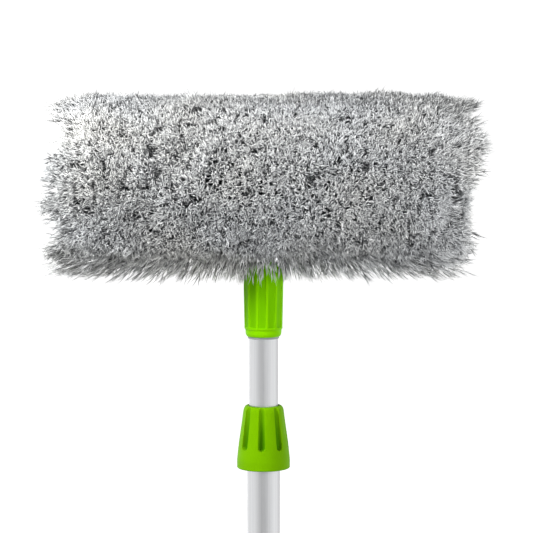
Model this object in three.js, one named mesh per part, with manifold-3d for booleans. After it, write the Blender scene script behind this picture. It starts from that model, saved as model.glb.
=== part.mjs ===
// Feather duster: a soft all-round brush head that screws onto a two-section telescopic pole with a
// twist lock. Millimetres, +Z up. The origin is the centre of the handle's flat bottom end, the pole
// runs up +Z, the brush head lies along X, and its front faces -Y.

import * as THREE from "three";
import { mergeVertices } from "three/addons/utils/BufferGeometryUtils.js";
import Module from "manifold-3d";

const wasm = await Module();
wasm.setup();

// ---- Driving dimensions, in millimetres ------------------------------------------------------

const GAP = 0.3; // left between pieces that touch on the real object
const TUBE_WALL = 1;
const OUTER_TUBE_RADIUS = 12.5;
const INNER_TUBE_RADIUS = 11;
const OUTER_TUBE_TOP = 440;
const INNER_TUBE_LENGTH = 473;

const CAP_HEIGHT = 24; // end cap below the outer tube
const CAP_RADIUS = 15.5;
const HANG_HOLE_RADIUS = 5;
const HANG_HOLE_HEIGHT = 11;
const HANG_TAB_THICKNESS = 13;
const GRIP_LENGTH = 140;

const NUT_TOP = 463; // height of the lock nut's top face
const NUT_LENGTH = 48;
const NUT_FLUTES = 8;
const NUT_TURN = THREE.MathUtils.degToRad(-3); // how the nut happens to stand
const TUBE_SHOWN = 53; // bare inner tube between the nut and the head's socket
const TUBE_IN_SOCKET = 60;

const SOCKET_LENGTH = 114; // from the socket's mouth to the brush core's axis
const SOCKET_PANELS = 12;
const SOCKET_TURN = THREE.MathUtils.degToRad(-3.5);
const CORE_RADIUS = 15;
const CORE_HALF_LENGTH = 118;

const BRISTLE_TIP_RADIUS = 70; // from the core's axis to the bristle tips
const BRISTLE_ROOT_HALF = 108; // half a row's length at its root, at its widest and at its tips
const BRISTLE_WIDEST_HALF = 157;
const BRISTLE_TIP_HALF = 150;
const BRISTLE_WIDEST_RADIUS = 60;
const BRISTLE_ROWS = 16;
const STEM_THICKNESS = 2; // the packed roots of a row
const TIP_THICKNESS = 2.5; // the band that its spread tips make

// ---- Sizes worked out from them --------------------------------------------------------------

const OUTER_BORE = OUTER_TUBE_RADIUS - TUBE_WALL;
const INNER_BORE = INNER_TUBE_RADIUS - TUBE_WALL;
const ROW_PITCH = 360 / BRISTLE_ROWS; // degrees
const SOCKET_MOUTH = NUT_TOP + TUBE_SHOWN;
const HEAD_AXIS = SOCKET_MOUTH + SOCKET_LENGTH;
const INNER_TUBE_TOP = SOCKET_MOUTH + TUBE_IN_SOCKET;
const INNER_TUBE_BOTTOM = INNER_TUBE_TOP - INNER_TUBE_LENGTH;
const CORE_CLEARANCE = CORE_RADIUS + GAP;

const TUBE_SIDES = 32;
const NUT_SIDES = 48;
const CORE_SIDES = 24;
const PIN_SIDES = 12;

// ---- Materials -------------------------------------------------------------------------------

const plastic = (color, roughness) =>
  new THREE.MeshStandardMaterial({ color, roughness, metalness: 0 });
const metal = (color, roughness) =>
  new THREE.MeshStandardMaterial({ color, roughness, metalness: 1 });

const LIME_PLASTIC = plastic(0x78bd02, 0.38);
const GREY_PLASTIC = plastic(0x8a8d8f, 0.5);
const CORE_PLASTIC = plastic(0x9ea1a3, 0.6);
const GRIP_RUBBER = plastic(0x2f3234, 0.8);
const BRISTLES = plastic(0xb9bbbc, 0.7);
const ALUMINIUM = metal(0xd6d8da, 0.32);
const STEEL = metal(0xb4b6b8, 0.3);

// ---- Geometry helpers ------------------------------------------------------------------------

// A closed three.js geometry as a manifold-3d solid.
function solid(geometry) {
  const bare = geometry.clone();
  bare.deleteAttribute("normal");
  bare.deleteAttribute("uv");
  const merged = mergeVertices(bare);
  return new wasm.Manifold(
    new wasm.Mesh({
      numProp: 3,
      vertProperties: merged.attributes.position.array,
      triVerts: new Uint32Array(merged.index.array),
    }),
  );
}

// A named mesh of a solid.
function piece(name, body, material) {
  const mesh = body.getMesh();
  const geometry = new THREE.BufferGeometry();
  geometry.setAttribute("position", new THREE.BufferAttribute(mesh.vertProperties, 3));
  geometry.setIndex(new THREE.BufferAttribute(mesh.triVerts, 1));
  geometry.computeVertexNormals();
  const made = new THREE.Mesh(geometry, material);
  made.name = name;
  return made;
}

// A solid turned about Z from [radius, height] points, which go up the outside.
function turned(points, sides = TUBE_SIDES) {
  const profile = points.map(([radius, height]) => new THREE.Vector2(radius, height));
  return solid(new THREE.LatheGeometry(profile, sides).rotateX(Math.PI / 2));
}

// A plain tube between two heights.
function ring(bore, radius, bottom, top, sides = TUBE_SIDES) {
  const corners = [[bore, bottom], [radius, bottom], [radius, top], [bore, top]];
  return turned([...corners, corners[0]], sides);
}

// A round bar or cutter along Z, centred where it is asked for.
function barAlongZ(radius, length, z = 0, sides = PIN_SIDES) {
  const bar = new THREE.CylinderGeometry(radius, radius, length, sides);
  return solid(bar.rotateX(Math.PI / 2).translate(0, 0, z));
}

function barAlongX(radius, length, x = 0, z = 0, sides = PIN_SIDES) {
  const bar = new THREE.CylinderGeometry(radius, radius, length, sides);
  return solid(bar.rotateZ(Math.PI / 2).translate(x, 0, z));
}

function barAlongY(radius, length, z = 0, sides = PIN_SIDES) {
  return solid(new THREE.CylinderGeometry(radius, radius, length, sides).translate(0, 0, z));
}

function block(width, depth, height, x = 0, y = 0, z = 0) {
  return solid(new THREE.BoxGeometry(width, depth, height).translate(x, y, z));
}

// The same cutter repeated evenly about Z and taken from a body.
function cutAround(body, cutter, count, turn) {
  let left = body;
  for (let i = 0; i < count; i += 1) {
    const degrees = THREE.MathUtils.radToDeg(turn) + (360 * i) / count;
    left = left.subtract(cutter.rotate([0, 0, degrees]));
  }
  return left;
}

// [radius, height] points of evenly spaced thread crests, going up from start.
function threadProfile(crest, root, start, pitch, turns) {
  const points = [];
  for (let i = 0; i < turns; i += 1) {
    const at = start + i * pitch;
    points.push([root, at], [crest, at + 0.3 * pitch], [crest, at + 0.6 * pitch], [root, at + 0.9 * pitch]);
  }
  return points;
}

// ---- Handle: heights from the origin ----------------------------------------------------------

const FERRULE_BOTTOM = 418;
const FERRULE_PIN_HEIGHT = 423;
const FERRULE_TOP = 446.3;
const FERRULE_RADIUS = 14;
const COLLET_HEIGHT = 14;
const PIN_RADIUS = 1.4;
const STOP_GROOVE = 387.5; // height of the rolled groove that stops the inner tube coming out

function endCap() {
  const flat = 11; // radius of the flat bottom
  const plugRadius = OUTER_BORE - GAP;
  const plugTop = CAP_HEIGHT + 20;
  const body = turned([
    [0, 0], [flat, 0], [13.9, 1.2], [15.1, 3.4], [CAP_RADIUS, 6],
    [CAP_RADIUS, CAP_HEIGHT], [plugRadius, CAP_HEIGHT], [plugRadius, plugTop - 1.5], [plugRadius - 1.5, plugTop],
    [0, plugTop],
  ]);
  const tabTop = 20;
  const cutDepth = CAP_RADIUS - HANG_TAB_THICKNESS / 2 + 1;
  const cutCentre = HANG_TAB_THICKNESS / 2 + cutDepth / 2;
  const cheek = (side) =>
    block(4 * CAP_RADIUS, cutDepth, 2 * tabTop, 0, side * cutCentre, 0);
  const hole = barAlongY(HANG_HOLE_RADIUS, 4 * CAP_RADIUS, HANG_HOLE_HEIGHT, 24);
  return piece("end_cap", body.subtract(cheek(1)).subtract(cheek(-1)).subtract(hole), LIME_PLASTIC);
}

function outerTube() {
  const radius = OUTER_TUBE_RADIUS;
  const pinch = 0.35; // how far the stop groove is rolled in
  const body = turned([
    [OUTER_BORE, CAP_HEIGHT + GAP], [radius, CAP_HEIGHT + GAP],
    [radius, STOP_GROOVE - 4.5], [radius - pinch, STOP_GROOVE - 1.5],
    [radius - pinch, STOP_GROOVE + 1.5], [radius, STOP_GROOVE + 4.5],
    [radius, OUTER_TUBE_TOP], [OUTER_BORE, OUTER_TUBE_TOP],
    [OUTER_BORE, STOP_GROOVE + 5], [OUTER_BORE - pinch, STOP_GROOVE + 1.5],
    [OUTER_BORE - pinch, STOP_GROOVE - 1.5], [OUTER_BORE, STOP_GROOVE - 5],
    [OUTER_BORE, CAP_HEIGHT + GAP],
  ]);
  const pinHole = barAlongX(PIN_RADIUS + GAP, 4 * radius, 0, FERRULE_PIN_HEIGHT);
  return piece("outer_tube", body.subtract(pinHole), ALUMINIUM);
}

function handGrip() {
  const bore = OUTER_TUBE_RADIUS + GAP;
  const bottom = CAP_HEIGHT + GAP;
  const top = bottom + GRIP_LENGTH;
  const body = turned([
    [bore, bottom], [CAP_RADIUS, bottom], [16.6, bottom + 12], [17.2, bottom + 45],
    [16.4, bottom + 85], [16.8, top - 18], [17.6, top - 7], [17, top - 2], [15.4, top],
    [bore, top], [bore, bottom],
  ]);
  return piece("hand_grip", body, GRIP_RUBBER);
}

// The threaded sleeve pinned onto the outer tube, which the lock nut turns on.
function lockFerrule() {
  const bore = OUTER_TUBE_RADIUS + GAP;
  const throat = INNER_TUBE_RADIUS + 0.2;
  const body = turned([
    [bore, FERRULE_BOTTOM], [FERRULE_RADIUS, FERRULE_BOTTOM], [FERRULE_RADIUS, FERRULE_BOTTOM + 9],
    ...threadProfile(FERRULE_RADIUS, FERRULE_RADIUS - 0.6, FERRULE_BOTTOM + 10, 3.5, 5),
    [13.2, FERRULE_TOP], [throat, FERRULE_TOP], [throat, OUTER_TUBE_TOP + GAP],
    [bore, OUTER_TUBE_TOP + GAP], [bore, FERRULE_BOTTOM],
  ]);
  const pinHole = barAlongX(PIN_RADIUS + GAP, 4 * bore, 0, FERRULE_PIN_HEIGHT);
  return piece("lock_ferrule", body.subtract(pinHole), GREY_PLASTIC);
}

function ferrulePin(name, side) {
  const inner = OUTER_BORE + 0.1;
  const outer = FERRULE_RADIUS - 0.2;
  const middle = (side * (inner + outer)) / 2;
  return piece(name, barAlongX(PIN_RADIUS, outer - inner, middle, FERRULE_PIN_HEIGHT), STEEL);
}

// The slit acetal ring that the nut's cone squeezes onto the inner tube.
function splitCollet() {
  const bore = INNER_TUBE_RADIUS + 0.25;
  const bottom = FERRULE_TOP + GAP;
  const top = bottom + COLLET_HEIGHT;
  const slit = 1.6;
  const body = turned([
    [bore, bottom], [13.2, bottom], [13.2, bottom + 3], [12.3, top], [bore, top], [bore, bottom],
  ]);
  const cut = block(20, slit, 4 * COLLET_HEIGHT, 10, 0, bottom);
  return piece("split_collet", body.subtract(cut), GREY_PLASTIC);
}

// The fluted twist-lock nut. Heights here are from its top face.
function lockNut() {
  const throat = INNER_TUBE_RADIUS + 0.4;
  const threadBore = FERRULE_RADIUS + 0.35;
  const bottom = -NUT_LENGTH;
  const body = turned([
    [threadBore, bottom], [19.7, bottom], [20.2, bottom + 0.6], [20.2, -41.5], [19.7, -37],
    [18.8, -28.5], [17.4, -18.7], [16, -11], [15.3, -4.6], [14.8, -2.4], [13.9, -0.9], [12.6, 0],
    [throat, 0], [throat, -2], [12.7, -2.4], [13.6, -15.6], [threadBore, -16.4], [threadBore, bottom],
  ], NUT_SIDES);
  const fluteRadius = 2.6;
  const fluteLength = 40;
  const fluteLean = THREE.MathUtils.degToRad(-4); // the floors close in on the axis going up
  const fluteFloor = 16.3; // radius of the floor at its lower end
  const flute = solid(
    new THREE.CapsuleGeometry(fluteRadius, fluteLength, 3, 12)
      .rotateX(Math.PI / 2)
      .translate(0, 0, fluteLength / 2)
      .rotateX(fluteLean)
      .translate(0, -(fluteFloor + fluteRadius), -30.2),
  );
  const made = piece("lock_nut", cutAround(body, flute, NUT_FLUTES, NUT_TURN), LIME_PLASTIC);
  made.position.z = NUT_TOP;
  return made;
}

function handle() {
  const group = new THREE.Group();
  group.add(endCap(), outerTube(), handGrip(), lockFerrule());
  group.add(ferrulePin("ferrule_pin_left", -1), ferrulePin("ferrule_pin_right", 1));
  group.add(splitCollet());
  return group;
}

// ---- Sliding pole: heights from the inner tube's top end ---------------------------------------

const TIP_PIN_HEIGHT = -9;
const BUSH_PIN_HEIGHT = 9 - INNER_TUBE_LENGTH;
const CROSS_PIN_RADIUS = 1.5;
const CROSS_PIN_LENGTH = 2 * INNER_TUBE_RADIUS - 0.4;
const THREAD_RADIUS = 9.5;
const THREAD_PITCH = 5.08;

function innerTube() {
  const body = ring(INNER_BORE, INNER_TUBE_RADIUS, -INNER_TUBE_LENGTH, 0);
  const tipHole = barAlongX(CROSS_PIN_RADIUS + GAP, 4 * INNER_TUBE_RADIUS, 0, TIP_PIN_HEIGHT);
  const bushHole = barAlongX(CROSS_PIN_RADIUS + GAP, 4 * INNER_TUBE_RADIUS, 0, BUSH_PIN_HEIGHT);
  return piece("inner_tube", body.subtract(tipHole).subtract(bushHole), ALUMINIUM);
}

// The plug that guides the inner tube's lower end and stops against the rolled groove.
function guideBush() {
  const end = -INNER_TUBE_LENGTH;
  const plugRadius = INNER_BORE - GAP;
  const flangeRadius = OUTER_BORE - 0.2;
  const body = turned([
    [0, end - 7.7], [flangeRadius - 1, end - 7.7], [flangeRadius, end - 6.7], [flangeRadius, end - GAP],
    [plugRadius, end - GAP], [plugRadius, end + 18], [0, end + 18],
  ]);
  const pinHole = barAlongX(CROSS_PIN_RADIUS + GAP, 4 * plugRadius, 0, BUSH_PIN_HEIGHT);
  return piece("guide_bush", body.subtract(pinHole), GREY_PLASTIC);
}

// The plug in the tube's top end whose thread the brush head screws onto.
function poleTip() {
  const plugRadius = INNER_BORE - GAP;
  const rootRadius = THREAD_RADIUS - 1.2;
  const flangeTop = GAP + 3;
  const body = turned([
    [0, -25], [plugRadius, -25], [plugRadius, GAP], [INNER_TUBE_RADIUS, GAP],
    [INNER_TUBE_RADIUS, flangeTop],
    ...threadProfile(THREAD_RADIUS, rootRadius, flangeTop, THREAD_PITCH, 4),
    [7, flangeTop + 4 * THREAD_PITCH + 1.5], [0, flangeTop + 4 * THREAD_PITCH + 1.5],
  ]);
  const pinHole = barAlongX(CROSS_PIN_RADIUS + GAP, 4 * plugRadius, 0, TIP_PIN_HEIGHT);
  return piece("pole_tip", body.subtract(pinHole), GREY_PLASTIC);
}

function crossPin(name, height) {
  return piece(name, barAlongX(CROSS_PIN_RADIUS, CROSS_PIN_LENGTH, 0, height), STEEL);
}

function slidingPole() {
  const group = new THREE.Group();
  group.add(innerTube(), guideBush(), poleTip());
  group.add(crossPin("tip_pin", TIP_PIN_HEIGHT), crossPin("bush_pin", BUSH_PIN_HEIGHT));
  group.position.z = INNER_TUBE_TOP;
  return group;
}

// ---- Brush head: heights from the brush core's axis --------------------------------------------

const MOUTH = -SOCKET_LENGTH;
const SEAT = MOUTH + TUBE_IN_SOCKET; // where the tube's top end comes to
const INSERT_TOP = SEAT + 28.5;
const INSERT_RADIUS = 11.9;
const SPIGOT_RADIUS = 7.5;
const SPIGOT_TOP = 1.2;
const SCREW_RADIUS = 2;
const SCREW_HEAD_RADIUS = 4.2;
const SCREW_BOTTOM = -12;
const SCREW_SEAT = 11; // floor of the counterbore in the core's top
const CORE_BORE = 8;
const CORE_TUBE_HALF = CORE_HALF_LENGTH - 10;
const NECK_CLEARANCE = 16.4; // radius that the bristle rows leave free around the socket

function brushCore() {
  const tube = ring(CORE_BORE, CORE_RADIUS, -CORE_TUBE_HALF, CORE_TUBE_HALF, CORE_SIDES);
  const spigotHole = barAlongZ(SPIGOT_RADIUS + GAP, 40, SPIGOT_TOP + GAP - 20, CORE_SIDES);
  const screwHole = barAlongZ(SCREW_RADIUS + GAP, 60);
  const counterbore = barAlongZ(SCREW_HEAD_RADIUS + GAP, 20, SCREW_SEAT + 10, 16);
  const drilled = tube.rotate([0, 90, 0]).subtract(spigotHole).subtract(screwHole);
  return piece("brush_core", drilled.subtract(counterbore), CORE_PLASTIC);
}

// The domed plug in an end of the core.
function corePlug(name, side) {
  const start = CORE_TUBE_HALF + GAP;
  const stem = CORE_BORE - GAP;
  const body = turned([
    [0, start - 20], [stem - 1, start - 20], [stem, start - 19], [stem, start], [CORE_RADIUS, start],
    [CORE_RADIUS, start + 1.5], [12.6, start + 5.6], [8.6, CORE_HALF_LENGTH - 1], [0, CORE_HALF_LENGTH],
  ], CORE_SIDES);
  return piece(name, body.rotate([0, 90, side > 0 ? 0 : 180]), CORE_PLASTIC);
}

// The green socket that the pole enters, with a saddle and spigot that fit the core.
function neckSocket() {
  const bore = INSERT_RADIUS + GAP;
  const saddleTop = -9;
  const body = turned([
    [0, INSERT_TOP + GAP], [bore, INSERT_TOP + GAP], [bore, MOUTH], [12.5, MOUTH],
    [13.6, MOUTH + 2.2], [13.8, MOUTH + 5.4], [14.5, MOUTH + 6.2], [14.6, MOUTH + 7],
    [15.2, MOUTH + 36], [15.4, saddleTop],
    [SPIGOT_RADIUS, saddleTop], [SPIGOT_RADIUS, SPIGOT_TOP], [0, SPIGOT_TOP],
  ], NUT_SIDES);
  const coreRoom = barAlongX(CORE_CLEARANCE, 60, 0, 0, CORE_SIDES * 2);
  const spigot = barAlongZ(SPIGOT_RADIUS + 0.01, 40, SPIGOT_TOP - 20, NUT_SIDES);
  const pilot = barAlongZ(SCREW_RADIUS + GAP, 28, 0);
  const panelWidth = 5.4;
  const panelFloor = 13.9;
  const panelDepth = 8;
  const panelBottom = MOUTH + 7;
  const panelTop = saddleTop - 12;
  const panel = block(
    panelWidth, panelDepth, panelTop - panelBottom,
    0, -(panelFloor + panelDepth / 2), (panelTop + panelBottom) / 2,
  );
  const saddled = body.subtract(coreRoom.subtract(spigot)).subtract(pilot);
  return piece("neck_socket", cutAround(saddled, panel, SOCKET_PANELS, SOCKET_TURN), LIME_PLASTIC);
}

// The grey sleeve that lines the socket and holds the thread, which stands in as a plain bore.
function threadInsert() {
  const tubeBore = INNER_TUBE_RADIUS + 0.25;
  const threadBore = THREAD_RADIUS + GAP;
  const threadBottom = SEAT + 5;
  const rim = MOUTH - 1.6; // shows below the socket's mouth
  const body = turned([
    [tubeBore, rim], [INSERT_RADIUS, rim], [INSERT_RADIUS, INSERT_TOP], [threadBore, INSERT_TOP],
    [threadBore, threadBottom], [tubeBore, threadBottom], [tubeBore, rim],
  ], NUT_SIDES);
  return piece("thread_insert", body, GREY_PLASTIC);
}

function neckScrew() {
  const headBottom = SCREW_SEAT + GAP;
  const headTop = headBottom + 2.8;
  const body = turned([
    [0, SCREW_BOTTOM], [SCREW_RADIUS, SCREW_BOTTOM + 3], [SCREW_RADIUS, headBottom],
    [SCREW_HEAD_RADIUS, headBottom], [SCREW_HEAD_RADIUS, headBottom + 1.6], [3, headTop], [0, headTop],
  ], 16);
  const slot = block(5, 1, 3, 0, 0, headTop + 0.2);
  return piece("neck_screw", body.subtract(slot).subtract(slot.rotate([0, 0, 90])), STEEL);
}

// A row of bristle tufts that stands straight up from the core and starts at a place along X: a thin
// stem of packed roots with a band of spread tips on top. Both ends flare outwards.
function bristleRow(startAtRoot, startAtWidest, startAtTip) {
  const root = CORE_CLEARANCE + 0.1;
  const halfAngle = THREE.MathUtils.degToRad(ROW_PITCH / 2);
  const tip = BRISTLE_TIP_RADIUS * Math.cos(halfAngle);
  const bandBottom = tip - TIP_THICKNESS;
  const bandWidth = 2 * (bandBottom * Math.tan(halfAngle) - GAP);
  const outline = new THREE.Shape([
    new THREE.Vector2(startAtRoot, root),
    new THREE.Vector2(BRISTLE_ROOT_HALF, root),
    new THREE.Vector2(BRISTLE_WIDEST_HALF, BRISTLE_WIDEST_RADIUS),
    new THREE.Vector2(BRISTLE_TIP_HALF, tip),
    new THREE.Vector2(startAtTip, tip),
    new THREE.Vector2(startAtWidest, BRISTLE_WIDEST_RADIUS),
  ]);
  const standing = (thickness) =>
    solid(
      new THREE.ExtrudeGeometry(outline, { depth: thickness, bevelEnabled: false })
        .translate(0, 0, -thickness / 2)
        .rotateX(Math.PI / 2),
    );
  const tipSlice = block(400, 100, 100, 0, 0, bandBottom + 50);
  return standing(STEM_THICKNESS).add(standing(bandWidth).intersect(tipSlice));
}

// Rows are numbered from the front, over the top, down the back and round underneath.
function bristleRows() {
  const whole = bristleRow(-BRISTLE_ROOT_HALF, -BRISTLE_WIDEST_HALF, -BRISTLE_TIP_HALF);
  const neckEdge = NECK_CLEARANCE + 1;
  const half = bristleRow(neckEdge, neckEdge, neckEdge);
  const neck = barAlongZ(NECK_CLEARANCE, 200, -102, CORE_SIDES);
  const made = [];
  for (let i = 0; i < BRISTLE_ROWS; i += 1) {
    const degrees = (i + 0.5) * ROW_PITCH;
    const lean = 90 - degrees; // turns the upright row about X into its place
    const name = `bristle_row_${String(i + 1).padStart(2, "0")}`;
    const meetsNeck = Math.abs(degrees - 270) < ROW_PITCH;
    if (meetsNeck) {
      const left = half.rotate([0, 0, 180]);
      made.push(piece(`${name}_left`, left.rotate([lean, 0, 0]), BRISTLES));
      made.push(piece(`${name}_right`, half.rotate([lean, 0, 0]), BRISTLES));
    } else {
      made.push(piece(name, whole.rotate([lean, 0, 0]).subtract(neck), BRISTLES));
    }
  }
  return made;
}

// The tufts on an end plug, which point along X.
function bristleEnd(name, side) {
  const start = CORE_HALF_LENGTH + 0.5;
  const length = BRISTLE_WIDEST_HALF - start;
  const tipRadius = 50;
  const rootRadius = 11;
  const cone = new THREE.CylinderGeometry(tipRadius, rootRadius, length, CORE_SIDES);
  cone.rotateZ(-Math.PI / 2).translate(start + length / 2, 0, 0);
  return piece(name, solid(cone).rotate([0, 0, side > 0 ? 0 : 180]), BRISTLES);
}

function brushHead() {
  const group = new THREE.Group();
  group.add(brushCore(), corePlug("core_plug_left", -1), corePlug("core_plug_right", 1));
  group.add(neckSocket(), threadInsert(), neckScrew(), ...bristleRows());
  group.add(bristleEnd("bristle_end_left", -1), bristleEnd("bristle_end_right", 1));
  group.position.z = HEAD_AXIS;
  return group;
}

// ---- The whole duster ------------------------------------------------------------------------

const duster = new THREE.Group();
duster.name = "feather_duster";
duster.add(handle(), lockNut(), slidingPole(), brushHead());

export default duster;
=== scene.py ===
import math

import bpy
import numpy as np
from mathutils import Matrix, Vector
from mathutils.kdtree import KDTree


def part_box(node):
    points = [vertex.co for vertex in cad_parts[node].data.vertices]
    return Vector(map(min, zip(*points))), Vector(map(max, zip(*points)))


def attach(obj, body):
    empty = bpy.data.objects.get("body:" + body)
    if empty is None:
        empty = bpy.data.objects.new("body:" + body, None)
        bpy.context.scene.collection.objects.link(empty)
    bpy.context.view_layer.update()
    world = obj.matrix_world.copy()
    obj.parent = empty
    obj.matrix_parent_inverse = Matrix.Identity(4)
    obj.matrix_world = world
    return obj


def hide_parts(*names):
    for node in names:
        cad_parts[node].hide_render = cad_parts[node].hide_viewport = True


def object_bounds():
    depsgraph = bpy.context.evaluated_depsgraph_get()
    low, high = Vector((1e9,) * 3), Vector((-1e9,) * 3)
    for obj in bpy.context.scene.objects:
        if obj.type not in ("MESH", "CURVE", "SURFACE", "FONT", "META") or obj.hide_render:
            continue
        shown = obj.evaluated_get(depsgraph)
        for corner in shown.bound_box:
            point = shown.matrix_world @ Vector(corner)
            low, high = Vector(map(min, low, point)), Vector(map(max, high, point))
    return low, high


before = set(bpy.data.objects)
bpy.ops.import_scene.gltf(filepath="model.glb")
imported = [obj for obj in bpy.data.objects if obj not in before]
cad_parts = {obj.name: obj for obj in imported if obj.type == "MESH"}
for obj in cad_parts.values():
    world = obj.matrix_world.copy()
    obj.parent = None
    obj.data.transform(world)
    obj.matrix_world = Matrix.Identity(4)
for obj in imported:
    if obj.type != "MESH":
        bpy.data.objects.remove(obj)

CAD_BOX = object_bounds()
MM = 0.001

# ---- Places, worked out from the frame (metres) ------------------------------------------------

CORE_LOW, CORE_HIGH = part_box("brush_core")
CORE_RADIUS = (CORE_HIGH.z - CORE_LOW.z) / 2
HEAD_AXIS = (CORE_HIGH.z + CORE_LOW.z) / 2
CORE_HALF = CORE_HIGH.x
NUT_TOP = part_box("lock_nut")[1].z
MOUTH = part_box("neck_socket")[0].z
TUBE_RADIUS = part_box("inner_tube")[1].x
OUTER_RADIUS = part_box("outer_tube")[1].x
HEAD_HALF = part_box("bristle_row_01")[1].x
HEAD_RADIUS = CAD_BOX[1].z - HEAD_AXIS

ROWS = 16
ROW_PITCH = 2 * math.pi / ROWS
NECK_RADIUS = 16.0 * MM  # bristles stay outside this around the socket
RNG = np.random.default_rng(20)


# ---- Mesh helpers ------------------------------------------------------------------------------

def link(name, mesh):
    """A new object with this mesh, in the scene."""
    made = bpy.data.objects.new(name, mesh)
    bpy.context.scene.collection.objects.link(made)
    return made


def triangle_mesh(name, points, triangles):
    """A smooth-shaded mesh from arrays of points and of triangles."""
    mesh = bpy.data.meshes.new(name)
    count = len(triangles)
    mesh.vertices.add(len(points))
    mesh.vertices.foreach_set("co", np.ascontiguousarray(points, np.float32).ravel())
    mesh.loops.add(3 * count)
    mesh.loops.foreach_set("vertex_index", triangles.astype(np.int32).ravel())
    mesh.polygons.add(count)
    mesh.polygons.foreach_set("loop_start", np.arange(0, 3 * count, 3, dtype=np.int32))
    mesh.polygons.foreach_set("loop_total", np.full(count, 3, np.int32))
    mesh.polygons.foreach_set("use_smooth", np.ones(count, bool))
    mesh.update(calc_edges=True)
    return mesh


def ring_shell(name, rings):
    """A closed body from rings of points, (rings, sides, 3). The last ring joins the first."""
    rings = np.asarray(rings)
    count, sides, _ = rings.shape
    i = np.arange(count)[:, None]
    j = np.arange(sides)[None, :]
    a = i * sides + j
    b = i * sides + (j + 1) % sides
    c = ((i + 1) % count) * sides + (j + 1) % sides
    d = ((i + 1) % count) * sides + j
    triangles = np.stack([np.stack([a, b, c], -1), np.stack([a, c, d], -1)], 2).reshape(-1, 3)
    return link(name, triangle_mesh(name, rings.reshape(-1, 3), triangles))


def lathe(name, profile, sides=128):
    """A closed body turned about Z from (radius, height) points that go up the outside, in metres."""
    angles = np.linspace(0, 2 * math.pi, sides, endpoint=False)
    rings = [
        np.stack([r * np.cos(angles), r * np.sin(angles), np.full(sides, z)], -1) for r, z in profile
    ]
    return ring_shell(name, rings)


def sharpen(piece, degrees=32):
    """Keeps edges crisp where faces meet at more than this angle."""
    piece.data.set_sharp_from_angle(angle=math.radians(degrees))


def smooth_step(low, high, x):
    t = np.clip((x - low) / (high - low), 0, 1)
    return t * t * (3 - 2 * t)


def smooth_min(a, b, blend):
    """The smaller of two values, with a rounded changeover."""
    h = np.clip(0.5 + 0.5 * (b - a) / blend, 0, 1)
    return b * (1 - h) + a * h - blend * h * (1 - h)


# ---- Materials ---------------------------------------------------------------------------------

def new_material(name, roughness, metallic=0.0, specular=0.5):
    """A node material and its Principled shader, with its constants set on the sockets."""
    material = bpy.data.materials.new(name)
    material.use_nodes = True
    shader = material.node_tree.nodes["Principled BSDF"]
    shader.inputs["Roughness"].default_value = roughness
    shader.inputs["Metallic"].default_value = metallic
    shader.inputs["Specular IOR Level"].default_value = specular
    return material, shader


def noise(material, scale, detail=3.0, stretch=(1, 1, 1)):
    """A noise texture in the object's own coordinates. scale is in features per metre."""
    nodes, links = material.node_tree.nodes, material.node_tree.links
    place = nodes.new("ShaderNodeTexCoord")
    mapping = nodes.new("ShaderNodeMapping")
    mapping.inputs["Scale"].default_value = stretch
    texture = nodes.new("ShaderNodeTexNoise")
    texture.inputs["Scale"].default_value = scale
    texture.inputs["Detail"].default_value = detail
    links.new(place.outputs["Object"], mapping.inputs["Vector"])
    links.new(mapping.outputs["Vector"], texture.inputs["Vector"])
    return texture.outputs["Fac"]


def ramp(material, value, stops):
    """A colour ramp over a value, with (position, (r, g, b)) stops."""
    node = material.node_tree.nodes.new("ShaderNodeValToRGB")
    band = node.color_ramp
    while len(band.elements) < len(stops):
        band.elements.new(0.5)
    for element, (position, colour) in zip(band.elements, stops):
        element.position = position
        element.color = (*colour, 1)
    material.node_tree.links.new(value, node.inputs["Fac"])
    return node.outputs["Color"]


def multiply(material, a, b):
    """The product of two colours."""
    node = material.node_tree.nodes.new("ShaderNodeMix")
    node.data_type = "RGBA"
    node.blend_type = "MULTIPLY"
    node.inputs["Factor"].default_value = 1.0
    material.node_tree.links.new(a, node.inputs["A"])
    material.node_tree.links.new(b, node.inputs["B"])
    return node.outputs["Result"]


def bump(material, shader, height, distance):
    """Roughens a surface by a height, at most this distance deep in metres."""
    node = material.node_tree.nodes.new("ShaderNodeBump")
    node.inputs["Distance"].default_value = distance
    node.inputs["Strength"].default_value = 1.0
    material.node_tree.links.new(height, node.inputs["Height"])
    material.node_tree.links.new(node.outputs["Normal"], shader.inputs["Normal"])


def mottled(
    name, dark, light, roughness, grain=1800, depth=0.02 * MM, patch=60, specular=0.5, gloss=(1, 1, 1),
    recess_painted_shade=None,
):
    """Moulded plastic or rubber: faint uneven colour and a fine grain. gloss tints its highlights.

    The last argument is painted shade in the recesses: what its colour is multiplied by where the
    moulding is cut in deepest.
    """
    material, shader = new_material(name, roughness, specular=specular)
    shader.inputs["Specular Tint"].default_value = (*gloss, 1)
    colour = ramp(material, noise(material, patch), [(0.3, dark), (0.7, light)])
    # Painted shade: the colour darkens in the moulding's recesses, the more the deeper they are cut.
    if recess_painted_shade:
        cut = material.node_tree.nodes.new("ShaderNodeAttribute")
        cut.attribute_name = "cut"
        shade = ramp(material, cut.outputs["Fac"], [(0.2, (1, 1, 1)), (1.0, recess_painted_shade)])
        colour = multiply(material, colour, shade)
    material.node_tree.links.new(colour, shader.inputs["Base Color"])
    bump(material, shader, noise(material, grain, 2.0), depth)
    return material


def drawn_metal(name, dark, light, roughness):
    """Drawn tube: fine lines along Z in its colour and its surface."""
    material, shader = new_material(name, roughness, metallic=1.0)
    lines = noise(material, 1, 4.0, stretch=(2600, 2600, 9))
    colour = ramp(material, lines, [(0.25, dark), (0.75, light)])
    material.node_tree.links.new(colour, shader.inputs["Base Color"])
    bump(material, shader, lines, 0.004 * MM)
    return material


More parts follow.
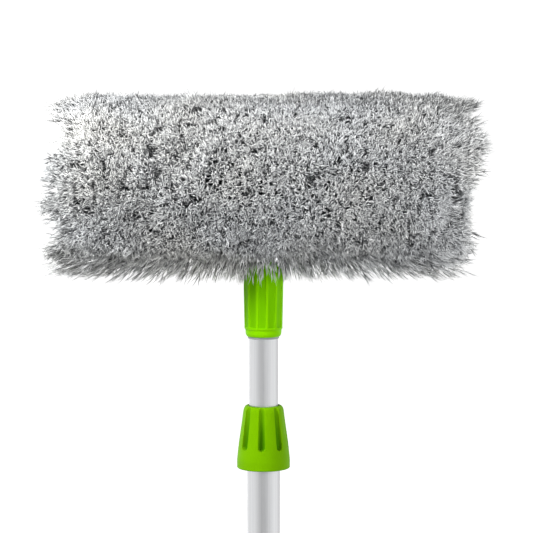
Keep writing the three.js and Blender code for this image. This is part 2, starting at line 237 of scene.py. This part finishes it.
def bristle_material():
    """Split-tip fibre: the tone attribute runs from a dark root, which is painted shade among the dense
    fibres, to a pale tip, fibre by fibre.
    """
    material, shader = new_material("bristle_fibre", 0.5, specular=0.4)
    nodes, links = material.node_tree.nodes, material.node_tree.links
    tone = nodes.new("ShaderNodeAttribute")
    tone.attribute_name = "tone"
    grey = ramp(
        material,
        tone.outputs["Fac"],
        [(0.0, (0.035, 0.036, 0.037)), (0.5, (0.46, 0.464, 0.47)), (1.0, (0.8, 0.8, 0.8))],
    )
    cool_warm = ramp(
        material, noise(material, 14, 1.0), [(0.35, (0.975, 0.99, 1.0)), (0.65, (1.0, 0.995, 0.965))]
    )
    links.new(multiply(material, grey, cool_warm), shader.inputs["Base Color"])
    return material


GREEN_GLOSS = (0.4, 1.0, 0.02)
# The socket's green: its panels darken by how deep they are cut, as painted shade.
GREEN = mottled(
    "green_plastic", (0.15, 0.42, 0.0005), (0.175, 0.47, 0.0005), 0.45,
    patch=45, specular=0.06, gloss=GREEN_GLOSS, recess_painted_shade=(0.7, 0.78, 1.0),
)
# The nut's green is the socket's green made darker, as painted shade, and its flutes darken deeply by
# their cut depth, as painted shade too.
NUT_GREEN_PAINTED_SHADE = mottled(
    "green_plastic_nut_painted_shade", (0.1, 0.25, 0.0005), (0.117, 0.283, 0.0005), 0.45,
    patch=45, specular=0.06, gloss=GREEN_GLOSS, recess_painted_shade=(0.4, 0.6, 1.0),
)
GREY = mottled("grey_plastic", (0.20, 0.215, 0.21), (0.26, 0.275, 0.27), 0.5)
CORE = mottled("core_plastic", (0.30, 0.31, 0.32), (0.37, 0.38, 0.39), 0.55)
RUBBER = mottled(
    "grip_rubber", (0.022, 0.023, 0.025), (0.04, 0.041, 0.044), 0.72, 1100, 0.08 * MM, specular=0.35
)
ALUMINIUM = drawn_metal("aluminium", (0.72, 0.73, 0.745), (0.86, 0.865, 0.875), 0.4)
STEEL = drawn_metal("steel", (0.46, 0.46, 0.47), (0.62, 0.62, 0.63), 0.3)
BRISTLE = bristle_material()


def finish_piece(piece, body, material, slot, *nodes):
    """Gives a piece its material and body, and lets it stand for CAD nodes. Its slot argument is not
    used.
    """
    piece.data.materials.clear()
    piece.data.materials.append(material)
    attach(piece, body)
    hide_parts(*nodes)


# ---- Bristles ----------------------------------------------------------------------------------

SPLITS = 3  # tips that each fibre splits into
SPLIT_LENGTH = 4.6 * MM
STEM_RADIUS = 0.36 * MM
TIP_RADIUS = 0.37 * MM
STEM_POINT = 1.5 * MM  # a stem runs this far past its fork, to a point hidden among the tips
TIP_SWAY = (0.15, 1.05)  # least and most that a tip leans sideways, against its length
TIP_PATH = ((0.6, 0.95, 0.8), (1.0, 1.05, 1.0))  # shares of length, sway and lean at bend and point
LAY_SHARE = 0.35  # how much the tips around a place lean the same way
# Painted shade: tones fall from the points towards the roots, in place of the shade among dense fibres;
# the points' 1.3 is painted light.
STEM_PAINTED_SHADE = np.array([0.1, 0.5, 0.5])  # at its root, at its fork and at its point
TIP_PAINTED_SHADE_AND_LIGHT = np.array([0.33, 0.9, 1.3])  # at its fork, bend and point
FIBRE_TONE = (0.66, 0.15)  # mean and spread from fibre to fibre
TONE_SPREAD = 0.18  # from tip to tip of one fibre

# What combing does to a fibre, in full
COMBED_LENGTH = 8 * MM  # its tips are longer
COMBED_THINNING = 0.3  # it loses this share of its width,
COMBED_CALM = 0.7  # and its tips this share of their sway
COMBED_LEAN = 0.75  # its tips lean towards the head's end, against their length


def unit(vectors):
    return vectors / np.maximum(np.linalg.norm(vectors, axis=-1, keepdims=True), 1e-12)


def sideways(vectors, direction):
    """The part of these vectors that is square to these unit directions."""
    return vectors - direction * np.sum(vectors * direction, 1, keepdims=True)


def spikes(paths, radii):
    """Closed three-sided spikes along paths (n, points, 3). Each ends in a point.

    Gives their points, their triangles, and for one spike the number of each point's ring.
    """
    count, steps, _ = paths.shape
    along = unit(paths[:, -1] - paths[:, 0])
    helper = unit(RNG.normal(size=(count, 3)))
    side = unit(np.cross(along, helper))
    other = np.cross(along, side)
    corners = []
    for k in range(3):
        angle = 2 * math.pi * k / 3
        corners.append(math.cos(angle) * side + math.sin(angle) * other)
    corners = np.stack(corners, 1)
    rings = paths[:, :-1, None, :] + corners[:, None] * radii[:, :-1, None, None]
    points = np.concatenate([rings.reshape(count, -1, 3), paths[:, -1:]], 1)
    local = [(0, 2, 1)]
    for ring in range(steps - 2):
        for k in range(3):
            a = 3 * ring + k
            b = 3 * ring + (k + 1) % 3
            local += [(a, b, b + 3), (a, b + 3, a + 3)]
    apex = 3 * (steps - 1)
    local += [(apex - 3 + k, apex - 3 + (k + 1) % 3, apex) for k in range(3)]
    size = points.shape[1]
    triangles = (np.array(local)[None] + (np.arange(count) * size)[:, None, None]).reshape(-1, 3)
    ring_of_point = np.append(np.repeat(np.arange(steps - 1), 3), steps - 1)
    return points.reshape(-1, 3), triangles, ring_of_point


def clear_of_neck(points):
    """Moves points below the core outwards until they are clear of the socket."""
    reach = np.hypot(points[..., 0], points[..., 1])
    below = points[..., 2] < HEAD_AXIS
    push = np.where(below & (reach < NECK_RADIUS), NECK_RADIUS / np.maximum(reach, 1e-6), 1.0)
    moved = points.copy()
    moved[..., 0] *= push
    moved[..., 1] *= push
    return moved


def joined(name, parts, tones):
    """One mesh from several lots of spikes, with their tones as its "tone" attribute."""
    points, triangles, tone, offset = [], [], [], 0
    for (part_points, part_triangles, _), part_tone in zip(parts, tones):
        points.append(part_points)
        triangles.append(part_triangles + offset)
        tone.append(np.clip(part_tone, 0, 1).ravel())
        offset += len(part_points)
    mesh = triangle_mesh(name, np.concatenate(points), np.concatenate(triangles))
    attribute = mesh.attributes.new("tone", "FLOAT", "POINT")
    attribute.data.foreach_set("value", np.concatenate(tone).astype(np.float32))
    return mesh


def fibres(name, roots, tips, combed, tone_shift, nodes):
    """One piece of split-tip fibres from roots to tips, which stands for these CAD nodes.

    combed is 0 where the tips splay every way. Where it is 1 they are long, lie together and lean
    towards the nearer end of the head. tone_shift makes a fibre paler or darker.
    """
    count = len(roots)
    direction = unit(tips - roots)
    combed = combed[:, None]
    thin = 1 - COMBED_THINNING * combed
    split = (SPLIT_LENGTH + COMBED_LENGTH * combed) * RNG.uniform(0.75, 1.25, (count, 1))
    root, fork = np.swapaxes(clear_of_neck(np.stack([roots, tips - direction * split], 1)), 0, 1)
    fibre_tone = np.clip(RNG.normal(*FIBRE_TONE, count) + tone_shift, 0.15, 1.0)
    lay = LAY(tips)
    lean = np.zeros((count, 3))
    lean[:, 0] = COMBED_LEAN * combed[:, 0] * roots[:, 0] / ROOT_HALF
    lean = sideways(lean, direction)

    stem = np.stack([root, fork, fork + direction * STEM_POINT], 1)
    parts = [spikes(stem, thin * [STEM_RADIUS, STEM_RADIUS, 0])]
    tones = [fibre_tone[:, None] * STEM_PAINTED_SHADE[parts[0][2]]]

    for _ in range(SPLITS):
        sway = sideways(LAY_SHARE * lay + RNG.normal(size=(count, 3)), direction)
        sway = unit(sway) * RNG.uniform(*TIP_SWAY, (count, 1)) * (1 - COMBED_CALM * combed)
        length = split * RNG.uniform(0.8, 1.15, (count, 1))
        bend, end = [
            fork + (direction + swayed * sway + leant * lean) * length * reached
            for reached, swayed, leant in TIP_PATH
        ]
        end[:, 0] = np.clip(end[:, 0], -FIBRE_LIMIT, FIBRE_LIMIT)
        path = clear_of_neck(np.stack([fork, bend, end], 1))
        parts.append(spikes(path, thin * [TIP_RADIUS, TIP_RADIUS, 0]))
        own = np.clip(fibre_tone + RNG.normal(0, TONE_SPREAD, count), 0.1, 1.0)
        tones.append(own[:, None] * TIP_PAINTED_SHADE_AND_LIGHT[parts[-1][2]])

    mesh = joined(name, parts, tones)
    finish_piece(link(name, mesh), "brush_head", BRISTLE, "bristle", *nodes)


# ---- The head's surface, which the fibres reach ------------------------------------------------

BUNDLES = 1900  # loose bundles that the tips of the whole head gather into
BUNDLE_PULL = 0.3  # most of the way that a tip is drawn to its bundle
DENTS = 70  # small dark places where the tips have parted
DENT_SIZE = (1.8 * MM, 7.0 * MM)  # smallest and largest radius
DENT_DEPTH = 11 * MM
DENT_MARGIN = 10 * MM  # kept clear at the head's ends
LAY_SIZE = 26 * MM  # distances over which the lay of the tips and the swell change
SWELL_SIZE = 38 * MM
SWELL_HEIGHT = 1.0 * MM


def overlapping(count):
    """Offsets from -1 to 1 that neighbours one apart share evenly, so that no seam shows."""
    return RNG.uniform(-0.5, 0.5, count) + RNG.uniform(-0.5, 0.5, count)


def on_head(x, radius, turn):
    """Points at a distance along the head, from its axis and round it."""
    y = -radius * np.cos(turn)
    z = HEAD_AXIS + radius * np.sin(turn)
    return np.stack(np.broadcast_arrays(x, y, z), -1)


def scattered(count, margin):
    """Points spread over the head's round surface, this far in from its ends."""
    x = RNG.uniform(-1, 1, count) * (HEAD_HALF - margin)
    return on_head(x, HEAD_RADIUS, RNG.uniform(0, 2 * math.pi, count))


def smooth_field(size):
    """A random vector field that changes over about this distance."""
    waves = 24
    directions = unit(RNG.normal(size=(waves, 3))) / (size * RNG.uniform(0.7, 1.6, (waves, 1)))
    phases = RNG.uniform(0, 2 * math.pi, waves)
    strengths = RNG.normal(size=(waves, 3)) * math.sqrt(2 / waves)
    return lambda points: np.sin(2 * math.pi * points @ directions.T + phases) @ strengths


LAY = smooth_field(LAY_SIZE)  # which way the split tips lie
SWELL = smooth_field(SWELL_SIZE)  # where the surface stands a little proud
BUNDLE_TREE = KDTree(BUNDLES)
for number, centre in enumerate(scattered(BUNDLES, 0)):
    BUNDLE_TREE.insert(centre, number)
BUNDLE_TREE.balance()
DENT_CENTRES = scattered(DENTS, DENT_MARGIN)
DENT_SIZES = RNG.uniform(*DENT_SIZE, DENTS)


def gathered(tips):
    """Tips drawn together into loose bundles."""
    nearest = np.array([BUNDLE_TREE.find(tip)[0] for tip in tips])
    return tips + (nearest - tips) * RNG.uniform(0, BUNDLE_PULL, (len(tips), 1))


def sunken(points):
    """How far the surface falls in at these points."""
    depth = np.zeros(len(points))
    for centre, size in zip(DENT_CENTRES, DENT_SIZES):
        distance = np.linalg.norm(points - centre, axis=1)
        depth = np.maximum(depth, DENT_DEPTH * (1 - smooth_step(0.4 * size, size, distance)))
    return depth


# ---- Rows and ends of the head -----------------------------------------------------------------

TUFTS = 25  # along a row
FIBRES_PER_TUFT = 135
ROOT_HALF = CORE_HALF - 4 * MM  # a row's outermost tufts are rooted here
TIP_HALF = HEAD_HALF - 9 * MM  # and their tips stand here, before they lean out
FRINGE_HALF = HEAD_HALF - 1 * MM  # or here, under the head
TIP_LIMIT = HEAD_HALF + 8 * MM  # no tip is placed further along the head than this,
FIBRE_LIMIT = HEAD_HALF + 14 * MM  # and none reaches further than this once it has splayed
HIGHEST = 6 * MM  # the most that a tip is placed outside the head's even surface, before the swell
ROOT_DEPTH = 0.5 * MM
ROOT_SPREAD = 0.9 * MM
ROOT_TURN_SPREAD = 0.05  # radians

ENDING = (0.84, 1.03)  # shares of a row's half length between which its end begins
FRINGE = (0.6, 0.97)  # how steeply down a fibre points where the fringe begins, and in its middle
# The head's darker top is painted shade.
TOP = (0.75, 1.0)  # how steeply up one points where the head's darker top begins, and in its middle
ROW_ENDS = [  # mm that each row's left and right ends stand out, from the front over the top
    (4, 0), (-16, 12), (-6, -4), (-6, 2), (-8, -2), (-3, -9), (1, -5), (-7, 2),
    (-2, -6), (-9, 1), (2, -3), (-5, -8), (-3, -14), (7, -18), (-12, -6), (5, -19),
]
END_SCATTER = 3.5 * MM  # how unevenly the fibres at a row's end stand out
END_ROUNDING = 12 * MM  # how far a row's edges fall back there behind its middle
END_NARROWING = 0.25  # share of its width that a row loses at its ends
END_SINKING = 0.9 * MM  # half of how far the tips sink in there, on average

# The strands' paleness is painted light.
STRANDS = 0.13  # share of the fibres under the head that hang down as long pale strands
STRAYS = 0.012  # share of the fibres anywhere that stand out past the rest
STRAND_HEIGHTS = (-7 * MM, 6 * MM)
STRAY_HEIGHTS = (0, 6 * MM)
ROUGHNESS = 0.6 * MM  # spread of the tips' heights
THINNING = 1.9 * MM  # how far inside the head's even surface most tips stay
FRINGE_THINNING = 12.6 * MM  # and how much further under the head, where only some hang down
LONGER = 0.24  # share of the thinning that a fibre makes good, on average

END_COMBING = 0.8
STRAY_COMBING = 0.8
FRINGE_COMBING = 0.1
END_TONE = 0.08  # tone shifts
# Painted shade: the fibres on the head's top are made darker.
TOP_PAINTED_SHADE = -0.3
# Painted light: the hanging strands are made paler.
STRAND_PAINTED_LIGHT = 0.35
# The fringe's mean is painted light that makes the shaded underside paler; its spread is tone that
# differs at random.
FRINGE_PAINTED_LIGHT_AND_TONE = (0.05, 0.28)  # mean and spread


def tip_heights(ending, hanging, strand, stray):
    """How far each tip of a row stands out from the head's even surface."""
    count = len(ending)
    thinning = THINNING + FRINGE_THINNING * hanging
    longer = RNG.exponential(LONGER, count) * (1 - 0.5 * hanging)
    height = RNG.normal(scale=ROUGHNESS, size=count) - thinning * (1 - longer)
    height = np.where(strand, RNG.uniform(*STRAND_HEIGHTS, count), height)
    height = np.where(stray, RNG.uniform(*STRAY_HEIGHTS, count), height)
    height -= RNG.gamma(2, END_SINKING, count) * ending
    return np.minimum(height, HIGHEST)


def row_fibres(row):
    """Roots, tips, combing and tone shift of one row's fibres. Row 0 is just above the front."""
    turn = (row + 0.5) * ROW_PITCH
    share = np.repeat(np.linspace(-1, 1, TUFTS), FIBRES_PER_TUFT)
    count = len(share)
    root_x = share * ROOT_HALF + RNG.normal(scale=ROOT_SPREAD, size=count)
    root_turn = turn + RNG.normal(scale=ROOT_TURN_SPREAD, size=count)
    roots = on_head(root_x, CORE_RADIUS - ROOT_DEPTH, root_turn)

    where = share + overlapping(count) * 2 / (TUFTS - 1)
    across = overlapping(count)
    ending = smooth_step(*ENDING, np.abs(where))
    reach = np.where(where < 0, *ROW_ENDS[row]) * MM + RNG.exponential(END_SCATTER, count)
    fallen_back = END_ROUNDING * np.abs(across) ** 1.5
    tip_turn = turn + across * (1 - END_NARROWING * ending) * ROW_PITCH
    hanging = smooth_step(*FRINGE, -np.sin(tip_turn))
    on_top = smooth_step(*TOP, np.sin(tip_turn))
    tip_x = where * (TIP_HALF + (FRINGE_HALF - TIP_HALF) * hanging)
    tip_x += np.sign(where) * ending * (reach - fallen_back)

    strand = RNG.random(count) < STRANDS * hanging
    stray = RNG.random(count) < STRAYS
    height = tip_heights(ending, hanging, strand, stray)
    surface = on_head(np.clip(tip_x, -TIP_LIMIT, TIP_LIMIT), HEAD_RADIUS, tip_turn)
    height += SWELL(surface)[:, 0] * SWELL_HEIGHT - sunken(surface)
    outward = on_head(0, 1, tip_turn) - np.array([0, 0, HEAD_AXIS])
    tips = gathered(surface) + outward * height[:, None]

    combed = END_COMBING * ending * RNG.uniform(0.2, 1.2, count)
    combed = np.maximum(combed, np.where(strand, 1.0, FRINGE_COMBING * hanging))
    combed = np.where(stray, STRAY_COMBING, combed)
    # The tone shift puts painted shade on the head's top, and painted light on the hanging strands and,
    # on average, on the fringe.
    tone_shift = END_TONE * ending + TOP_PAINTED_SHADE * on_top + hanging * RNG.normal(*FRINGE_PAINTED_LIGHT_AND_TONE, count)
    tone_shift = np.where(strand, STRAND_PAINTED_LIGHT, tone_shift)
    return roots, tips, combed, tone_shift


def bristle_rows():
    for row in range(ROWS):
        made = row_fibres(row)
        number = f"{row + 1:02d}"
        if f"bristle_row_{number}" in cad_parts:
            fibres(f"bristles_{number}", *made, [f"bristle_row_{number}"])
            continue
        root_x = made[0][:, 0]
        for side, chosen in (("left", root_x < 0), ("right", root_x >= 0)):
            half = [values[chosen] for values in made]
            fibres(f"bristles_{number}_{side}", *half, [f"bristle_row_{number}_{side}"])


END_FIBRES = 3400
END_CROWDING = 0.58  # 0.5 would spread them evenly over the end, and more crowds its middle
END_DISC = 58 * MM  # radius that the tips on an end spread over
END_ROOTS = 11 * MM  # and that their roots do
END_CLUMPING = 0.2  # most of the way that a tip is drawn to one of 16 spokes
END_DOME = 5 * MM  # how much further out the middle of an end stands than its edge, tips and roots
END_ROUGHNESS = 1.8 * MM
ENDS_COMBING = 0.2
ENDS_TONE = 0.1


def bristle_ends():
    """The tufts on the core's domed ends fan out to fill the middle of the head's ends."""
    for side, sign in (("left", -1), ("right", 1)):
        share = RNG.random(END_FIBRES) ** END_CROWDING
        turn = RNG.uniform(0, 2 * math.pi, END_FIBRES)
        clump = (np.floor(turn / ROW_PITCH) + 0.5) * ROW_PITCH
        turn += (clump - turn) * RNG.uniform(0, END_CLUMPING, END_FIBRES)
        tip_x = HEAD_HALF - 5 * MM - END_DOME * share**3
        tip_x += RNG.normal(scale=END_ROUGHNESS, size=END_FIBRES)
        root_x = CORE_HALF + 8 * MM - END_DOME * share**2
        roots = on_head(sign * root_x, share * END_ROOTS, turn)
        tips = gathered(on_head(sign * tip_x, share * END_DISC, turn))
        combed = np.full(END_FIBRES, ENDS_COMBING)
        fibres(f"bristles_end_{side}", roots, tips, combed, ENDS_TONE, [f"bristle_end_{side}"])


# ---- Green mouldings ---------------------------------------------------------------------------

def fill_heights(profile, step):
    """(radius, height) points with more put in between, no further apart than step."""
    made = []
    for (r0, z0), (r1, z1) in zip(profile, profile[1:]):
        pieces = max(1, math.ceil(math.hypot(r1 - r0, z1 - z0) / step))
        for k in range(pieces):
            t = k / pieces
            made.append((r0 + (r1 - r0) * t, z0 + (z1 - z0) * t))
    return made + [profile[-1]]


def carved(name, outside, inside, carve, sides, deepest):
    """A turned moulding whose outside radius is cut by carve(angles, radius, height).

    Its "cut" attribute runs from 0 on the uncut surface to 1 where the cut is deepest; the green
    materials darken by it as painted shade in the recesses.
    """
    angles = np.linspace(0, 2 * math.pi, sides, endpoint=False)
    radii = [carve(angles, r, z) for r, z in outside] + [np.full(sides, r) for r, _ in inside]
    cuts = [r - cut for (r, _), cut in zip(outside, radii)] + [np.zeros(sides) for _ in inside]
    rings = [
        np.stack([radius * np.sin(angles), -radius * np.cos(angles), np.full(sides, z)], -1)
        for radius, (_, z) in zip(radii, outside + inside)
    ]
    made = ring_shell(name, rings)
    attribute = made.data.attributes.new("cut", "FLOAT", "POINT")
    attribute.data.foreach_set("value", np.clip(np.concatenate(cuts) / deepest, 0, 1).astype(np.float32))
    return made


def from_nearest(angles, count, turn):
    """Angle from the nearest of evenly spaced features round the pole."""
    pitch = 2 * math.pi / count
    return (angles - turn + pitch / 2) % pitch - pitch / 2


def lock_nut():
    """The nut: 8 round-bottomed flutes that deepen downwards and end in a scoop."""
    flutes, flute_turn = 8, math.radians(-4)
    flute_radius = 2.6 * MM
    floor_bottom, floor_lean = 15.4 * MM, math.tan(math.radians(3.8))
    wall_slope = 5
    scoop = NUT_TOP - 30.2 * MM

    def carve(angles, r, z):
        off = np.abs(from_nearest(angles, flutes, flute_turn))
        below = max(scoop - z, 0)
        if below >= flute_radius:
            return np.full_like(angles, r)
        width = math.sqrt(flute_radius**2 - below**2)
        centre = floor_bottom + flute_radius - max(z - scoop, 0) * floor_lean
        aside = centre * np.sin(off)
        hollow = np.sqrt(np.maximum(width**2 - aside**2, 0))
        floor = centre * np.cos(off) - hollow + np.maximum(aside - width, 0) * wall_slope
        return smooth_min(np.full_like(angles, r), floor, 0.35 * MM)

    heights = [
        (19.7, -48), (20.0, -47.8), (20.2, -47.3), (20.2, -41.5), (19.75, -37), (18.9, -28.5),
        (17.5, -18.7), (16.4, -11), (15.7, -5.6), (15.5, -4.0), (15.2, -2.7), (14.7, -1.5),
        (13.9, -0.55), (13.0, -0.1), (12.1, 0), (11.6, -0.1), (11.4, -0.5), (11.4, -2),
    ]
    inside = [(12.7, -2.4), (13.6, -15.6), (14.35, -16.4), (14.35, -48)]
    place = lambda points: [(r * MM, NUT_TOP + z * MM) for r, z in points]
    outside = fill_heights(place(heights), 0.5 * MM)
    made = carved("lock_nut_moulding", outside, place(inside), carve, 384, 3 * MM)
    sharpen(made, 50)
    finish_piece(made, "lock_nut", NUT_GREEN_PAINTED_SHADE, "green_plastic", "lock_nut")


def neck_socket():
    """The socket: 12 flat panels between narrow ribs, a bead, a plain band and a chamfered mouth."""
    panels, panel_turn = 12, math.radians(-4.5)
    panel_half, panel_step = math.radians(11), math.radians(0.9)
    panel_depth = 0.6 * MM
    ledge, ledge_step = MOUTH + 7.0 * MM, 0.5 * MM
    panel_top = HEAD_AXIS - 21 * MM

    def carve(angles, r, z):
        off = np.abs(from_nearest(angles, panels, panel_turn))
        flat = (r * math.cos(panel_half) - panel_depth) / np.cos(off)
        sunk = 1 - smooth_step(panel_half, panel_half + panel_step, off)
        above_ledge = smooth_step(ledge, ledge + ledge_step, z)
        below_top = 1 - smooth_step(panel_top, panel_top + MM, z)
        return r - (r - flat) * sunk * above_ledge * below_top

    heights = [
        (12.4, 0), (12.7, 0.15), (13.3, 1.3), (13.55, 2.0), (13.65, 2.7), (13.75, 5.0), (13.8, 5.3),
        (14.1, 5.5), (14.4, 5.9), (14.5, 6.4), (14.55, 7.0), (15.15, 36),
    ]
    place = lambda points: [(r * MM, MOUTH + z * MM) for r, z in points]
    outside = fill_heights(place(heights), 0.4 * MM)
    outside += [(15.3 * MM, panel_top + 2 * MM), (15.3 * MM, HEAD_AXIS - 17 * MM)]
    insert_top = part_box("thread_insert")[1].z
    inside = [
        (13 * MM, HEAD_AXIS - 15.6 * MM), (12.2 * MM, insert_top + 2 * MM), (12.2 * MM, MOUTH),
    ]
    made = carved("neck_socket_moulding", outside, inside, carve, 384, 0.85 * MM)
    sharpen(made, 50)
    finish_piece(made, "brush_head", GREEN, "green_plastic", "neck_socket")


# ---- Tubes, grip and cap -----------------------------------------------------------------------

def tube(name, node, body, radius, bore):
    """A smooth tube with broken edges over a CAD tube's whole length."""
    low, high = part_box(node)[0].z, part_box(node)[1].z
    edge = 0.2 * MM
    profile = [
        (bore, low + edge), (bore + edge, low), (radius - edge, low), (radius, low + edge),
        (radius, high - edge), (radius - edge, high), (bore + edge, high), (bore, high - edge),
    ]
    made = lathe(name, profile)
    sharpen(made, 40)
    finish_piece(made, body, ALUMINIUM, "aluminium", node)


def socket_liner():
    low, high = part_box("thread_insert")[0].z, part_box("thread_insert")[1].z
    radius, bore, edge = 11.9 * MM, 11.25 * MM, 0.15 * MM
    made = lathe(
        "socket_liner",
        [
            (bore, low + edge), (bore + edge, low), (radius - edge, low), (radius, low + edge),
            (radius, high), (9.8 * MM, high), (9.8 * MM, high - 23.5 * MM), (bore, high - 23.5 * MM),
        ],
    )
    sharpen(made, 40)
    finish_piece(made, "head_thread", GREY, "grey_plastic", "thread_insert")


def hand_grip():
    """A soft sleeve with rounded rings pressed in round its middle."""
    low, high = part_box("hand_grip")[0].z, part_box("hand_grip")[1].z
    bore = OUTER_RADIUS + 0.3 * MM
    length = high - low
    ring_pitch, ring_depth = 5 * MM, 0.45 * MM
    blur = 13  # heights that the outline is evened out over
    key_heights = np.array([0, 12, 45, 85, 122, 133, 138, 140]) * length / 140
    key_radii = np.array([15.5, 16.6, 17.2, 16.4, 16.8, 17.6, 17.0, 15.4]) * MM
    heights = np.linspace(0, length, 281)
    radii = np.interp(heights, key_heights, key_radii)
    radii = np.convolve(np.pad(radii, blur // 2, mode="edge"), np.ones(blur) / blur, mode="valid")
    share = heights / length
    ringed = smooth_step(0.12, 0.16, share) * (1 - smooth_step(0.78, 0.82, share))
    radii -= ring_depth * ringed * (0.5 + 0.5 * np.cos(2 * math.pi * heights / ring_pitch)) ** 3
    profile = [(r, low + z) for r, z in zip(radii, heights)]
    made = lathe("grip_sleeve", profile + [(bore, high), (bore, low)])
    sharpen(made, 60)
    finish_piece(made, "handle", RUBBER, "grip_rubber", "hand_grip")


def soften_cad(name, body_material, width=0.0):
    """A CAD node keeps its shape and gets a material, smooth faces and, if asked, broken edges."""
    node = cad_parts[name]
    node.data.materials.clear()
    node.data.materials.append(body_material)
    node.data.polygons.foreach_set("use_smooth", np.ones(len(node.data.polygons), bool))
    sharpen(node, 30)
    if width:
        bevel = node.modifiers.new("broken_edges", "BEVEL")
        bevel.width = width
        bevel.segments = 2
        bevel.limit_method = "ANGLE"
        bevel.angle_limit = math.radians(40)


def hard_parts():
    lock_nut()
    neck_socket()
    socket_liner()
    tube("inner_tube_drawn", "inner_tube", "pole", TUBE_RADIUS, TUBE_RADIUS - MM)
    tube("outer_tube_drawn", "outer_tube", "handle", OUTER_RADIUS, OUTER_RADIUS - MM)
    hand_grip()
    soften_cad("end_cap", GREEN, 0.4 * MM)
    for name in ("lock_ferrule", "split_collet", "guide_bush", "pole_tip"):
        soften_cad(name, GREY)
    for name in ("ferrule_pin_left", "ferrule_pin_right", "bush_pin", "tip_pin", "neck_screw"):
        soften_cad(name, STEEL)
    for name in ("brush_core", "core_plug_left", "core_plug_right"):
        soften_cad(name, CORE)


# ---- Camera, floor and light -------------------------------------------------------------------

VIEW_WIDTH = 404 * MM  # seen across the picture at the pole
VIEW_DISTANCE = 1.6
VIEW_ELEVATION = math.radians(5)
LOOK_AT = Vector((2.3 * MM, 0, MOUTH + 53.0 * MM))


def camera():
    data = bpy.data.cameras.new("camera")
    data.sensor_width = 36
    data.lens = data.sensor_width * VIEW_DISTANCE / VIEW_WIDTH
    data.clip_start, data.clip_end = 0.01, 100
    made = bpy.data.objects.new("camera", data)
    back = Vector((0, -math.cos(VIEW_ELEVATION), math.sin(VIEW_ELEVATION)))
    made.location = LOOK_AT + back * VIEW_DISTANCE
    made.rotation_mode = "QUATERNION"
    made.rotation_quaternion = (-back).to_track_quat("-Z", "Y")
    bpy.context.scene.collection.objects.link(made)
    bpy.context.scene.camera = made


def floor():
    half = 20.0
    mesh = bpy.data.meshes.new("floor")
    corners = [(-half, -half, 0), (half, -half, 0), (half, half, 0), (-half, half, 0)]
    mesh.from_pydata(corners, [], [(0, 1, 2, 3)])
    material, shader = new_material("floor", 0.9, specular=0.0)
    shader.inputs["Base Color"].default_value = (0.9, 0.9, 0.9, 1)
    shader.inputs["Emission Color"].default_value = (1, 1, 1, 1)
    shader.inputs["Emission Strength"].default_value = 0.8
    mesh.materials.append(material)
    made = link("floor", mesh)
    made.visible_diffuse = False
    made.visible_glossy = False


SOFTBOXES = [  # name, place from the target (m), size (m), power (W), seen in glossy surfaces
    ("key_light", (1.0, -0.75, 0.1), (0.45, 0.45), 8.5, False),
    ("left_light", (-0.76, -0.54, 0.62), (0.45, 0.45), 26, False),
    ("front_light", (0.3, -0.95, 0.4), (1.0, 0.7), 3.5, True),
    ("back_light", (-0.5, 1.0, -0.1), (0.9, 0.9), 1.5, True),
    ("back_fill", (0.5, 1.0, 0.1), (0.9, 0.9), 13, False),
]
SKY_FRONT = 0.38  # strength of the light from straight ahead and behind,
SKY_SIDES = 0.6  # how much more comes from straight to the sides,
SKY_NARROWING = 1.4  # and the power of the way to the side that it grows by
SKY_LEVEL = 0.95  # share of that at the object's height,
SKY_RISE = -0.65  # and how much the share changes from there to straight up
LIGHT_TARGET = Vector((0, 0, HEAD_AXIS - 60 * MM))
SURROUND = 1.05  # strength of the white that the camera sees


def softbox(name, place, size, power, glossy):
    """A square or oblong area light that faces the target, which lies low in the head."""
    data = bpy.data.lights.new(name, "AREA")
    data.shape = "RECTANGLE"
    data.size, data.size_y = size
    data.energy = power
    made = bpy.data.objects.new(name, data)
    made.location = LIGHT_TARGET + Vector(place)
    made.rotation_mode = "QUATERNION"
    made.rotation_quaternion = Vector(place).to_track_quat("Z", "Y")
    made.visible_glossy = glossy
    bpy.context.scene.collection.objects.link(made)


def studio():
    """Softboxes, a white surround, and soft light from all round, most from the sides and below."""
    world = bpy.data.worlds.new("studio")
    world.use_nodes = True
    bpy.context.scene.world = world
    nodes, links = world.node_tree.nodes, world.node_tree.links
    nodes.clear()
    place = nodes.new("ShaderNodeTexCoord")
    split = nodes.new("ShaderNodeSeparateXYZ")
    links.new(place.outputs["Generated"], split.inputs["Vector"])

    def math_node(operation, *values):
        node = nodes.new("ShaderNodeMath")
        node.operation = operation
        for socket, value in zip(node.inputs, values):
            if isinstance(value, (int, float)):
                socket.default_value = value
            else:
                links.new(value, socket)
        return node.outputs[0]

    to_side = math_node("POWER", math_node("ABSOLUTE", split.outputs["X"]), SKY_NARROWING)
    round_about = math_node("MULTIPLY_ADD", to_side, SKY_SIDES, SKY_FRONT)
    by_height = math_node("MULTIPLY_ADD", split.outputs["Z"], SKY_RISE, SKY_LEVEL)
    light = nodes.new("ShaderNodeBackground")
    light.inputs["Color"].default_value = (1, 1, 1, 1)
    links.new(math_node("MULTIPLY", round_about, by_height), light.inputs["Strength"])
    seen = nodes.new("ShaderNodeBackground")
    seen.inputs["Color"].default_value = (1, 1, 1, 1)
    seen.inputs["Strength"].default_value = SURROUND
    rays = nodes.new("ShaderNodeLightPath")
    mixed = nodes.new("ShaderNodeMixShader")
    output = nodes.new("ShaderNodeOutputWorld")
    links.new(rays.outputs["Is Camera Ray"], mixed.inputs["Fac"])
    links.new(light.outputs["Background"], mixed.inputs[1])
    links.new(seen.outputs["Background"], mixed.inputs[2])
    links.new(mixed.outputs["Shader"], output.inputs["Surface"])

    for light_box in SOFTBOXES:
        softbox(*light_box)
    bpy.context.scene.view_settings.view_transform = "Standard"


camera()
floor()
studio()
hard_parts()
bristle_rows()
bristle_ends()
